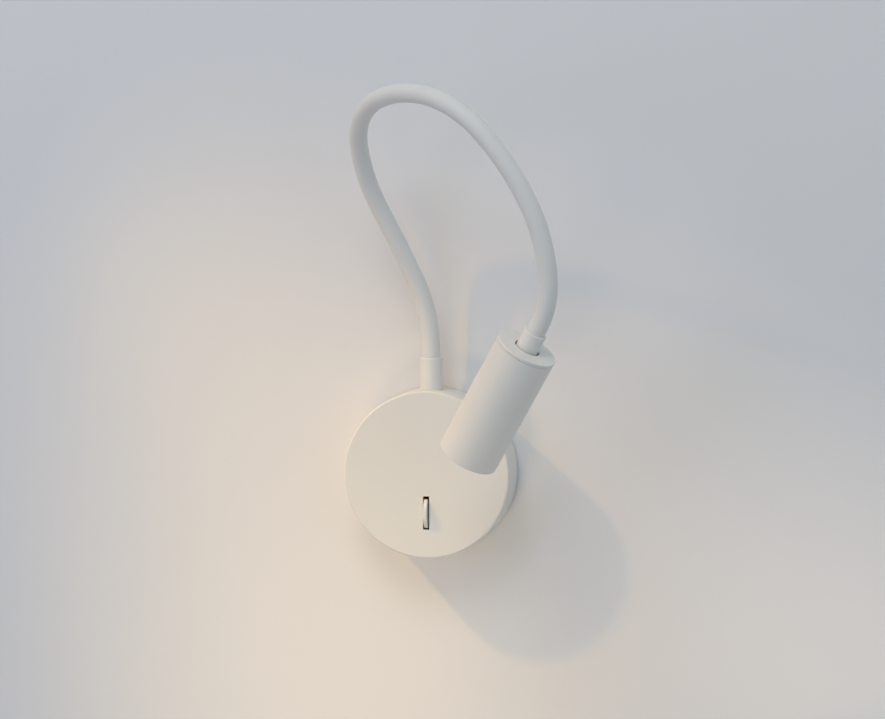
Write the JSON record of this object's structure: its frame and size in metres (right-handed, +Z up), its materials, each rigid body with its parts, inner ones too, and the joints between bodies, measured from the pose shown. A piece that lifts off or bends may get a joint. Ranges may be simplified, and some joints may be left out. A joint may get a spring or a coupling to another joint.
{
  "type": "wall reading lamp",
  "caption": "White wall reading lamp: round base with a half-moon rocker switch, a bendable neck that loops up and over, and a small tubular LED head.",
  "frame": {"origin": "on the wall, midway between the two wall screws, at the middle of the round base's back", "axes": "+Z up the wall, +Y into the wall, +X to the right as seen from the room"},
  "size_m": [0.1136, 0.106, 0.2231],
  "materials": {
    "painted_shell": "fine matt white powder coat",
    "soft_sleeve": "smooth matt silicone-like sleeve, off-white",
    "white_fitting": "matt white paint on turned metal",
    "switch_white": "satin moulded plastic, off-white",
    "zinc_steel": "zinc-plated sheet steel",
    "steel_core": "wound steel strip",
    "brass": "plain brass",
    "aluminium": "machined, unpainted",
    "rubber": "soft black rubber",
    "white_plastic": "moulded plastic",
    "clear_block": "milky polyamide",
    "board": "green circuit board",
    "component": "dark wound part or sleeve",
    "black_plastic": "moulded black plastic",
    "wire_sheath": "brown wire insulation",
    "lead_sheath": "dark lead sheath",
    "led_yellow": "yellow phosphor",
    "led_board_white": "white solder mask",
    "frosted_lens": "frosted lens"
  },
  "bodies": {
    "base": {"wall_plate": "zinc_steel", "base_cover": "painted_shell", "cover_screw": "zinc_steel", "cable_grommet": "rubber", "terminal_block": "clear_block", "terminal_clamps": "brass", "terminal_screws": "zinc_steel", "earth_tag": "zinc_steel", "earth_screw": "zinc_steel", "driver_case": "white_plastic", "driver_lid": "white_plastic", "driver_board": "board", "driver_coil": "component", "driver_capacitor": "component", "base_wires": "wire_sheath", "switch_housing": "black_plastic", "switch_blades": "brass", "switch_pin": "zinc_steel", "neck_nipple": "zinc_steel", "neck_washer": "zinc_steel", "neck_nut": "zinc_steel", "foot_ferrule": "white_fitting", "foot_sleeve": "soft_sleeve", "foot_core": "steel_core", "lamp_lead": "lead_sheath"},
    "rocker": {"rocker": "switch_white", "rocker_spring": "zinc_steel", "rocker_plunger": "brass"},
    "contact": {"switch_contact": "brass"},
    "neck_1": {"neck_sleeve_1": "soft_sleeve", "neck_core_1": "steel_core"},
    "neck_2": {"neck_sleeve_2": "soft_sleeve", "neck_core_2": "steel_core"},
    "neck_3": {"neck_sleeve_3": "soft_sleeve", "neck_core_3": "steel_core"},
    "neck_4": {"neck_sleeve_4": "soft_sleeve", "neck_core_4": "steel_core"},
    "neck_5": {"neck_sleeve_5": "soft_sleeve", "neck_core_5": "steel_core"},
    "neck_6": {"neck_sleeve_6": "soft_sleeve", "neck_core_6": "steel_core"},
    "neck_7": {"neck_sleeve_7": "soft_sleeve", "neck_core_7": "steel_core"},
    "neck_8": {"neck_sleeve_8": "soft_sleeve", "neck_core_8": "steel_core"},
    "head": {"head_sleeve": "soft_sleeve", "head_core": "steel_core", "head_tube": "painted_shell", "head_cap": "painted_shell", "head_ferrule": "white_fitting", "head_flange": "zinc_steel", "flange_screws": "zinc_steel", "head_nut": "zinc_steel", "heat_sink": "aluminium", "led_board": "led_board_white", "led_chip": "led_yellow", "led_wires": "lead_sheath", "reflector": "white_plastic", "lens": "frosted_lens", "front_ring": "painted_shell"}
  },
  "joints": [
    {"name": "rocker_tilt", "type": "hinge", "parent": "base", "child": "rocker", "pos_m": [0, -0.02034, -0.0182], "axis": [1, 0, 0], "range_deg": [-10, 0]},
    {"name": "contact_tilt", "type": "hinge", "parent": "base", "child": "contact", "pos_m": [0, -0.01279, -0.0182], "axis": [1, 0, 0], "range_deg": [0, 12]},
    {"name": "neck_bend_1", "type": "hinge", "parent": "base", "child": "neck_1", "pos_m": [0, -0.0125, 0.058], "axis": [0.4848, -0.8746, 0], "range_deg": [-22, 30], "deforming": ["lamp_lead"]},
    {"name": "neck_bend_2", "type": "hinge", "parent": "neck_1", "child": "neck_2", "pos_m": [-0.00702, -0.01639, 0.09278], "axis": [-0.1498, -0.946, -0.2876], "range_deg": [-30, 30]},
    {"name": "neck_bend_3", "type": "hinge", "parent": "neck_2", "child": "neck_3", "pos_m": [-0.02108, -0.02581, 0.12453], "axis": [0.5753, 0.6492, 0.4976], "range_deg": [-30, 18]},
    {"name": "neck_bend_4", "type": "hinge", "parent": "neck_3", "child": "neck_4", "pos_m": [-0.02789, -0.04304, 0.15489], "axis": [-0.8731, 0.3653, 0.3229], "range_deg": [-30, 30]},
    {"name": "neck_bend_5", "type": "hinge", "parent": "neck_4", "child": "neck_5", "pos_m": [-0.0148, -0.06816, 0.17546], "axis": [0.535, 0.7066, 0.4632], "range_deg": [-30, 16]},
    {"name": "neck_bend_6", "type": "hinge", "parent": "neck_5", "child": "neck_6", "pos_m": [0.01277, -0.0905, 0.17768], "axis": [0.0971, 0.4568, -0.8843], "range_deg": [-30, 30]},
    {"name": "neck_bend_7", "type": "hinge", "parent": "neck_6", "child": "neck_7", "pos_m": [0.0413, -0.10137, 0.16032], "axis": [0.3768, 0.8848, 0.2742], "range_deg": [-30, 30]},
    {"name": "neck_bend_8", "type": "hinge", "parent": "neck_7", "child": "neck_8", "pos_m": [0.06118, -0.1006, 0.13051], "axis": [-0.8927, 0.2111, -0.3981], "range_deg": [-20, 30]},
    {"name": "neck_bend_9", "type": "hinge", "parent": "neck_8", "child": "head", "pos_m": [0.06939, -0.0956, 0.09609], "axis": [0.1509, 0.9725, 0.1772], "range_deg": [-30, 30]}
  ],
  "couplings": [
    {"joint": "contact_tilt", "follows": "rocker_tilt", "ratio": -1.2}
  ]
}
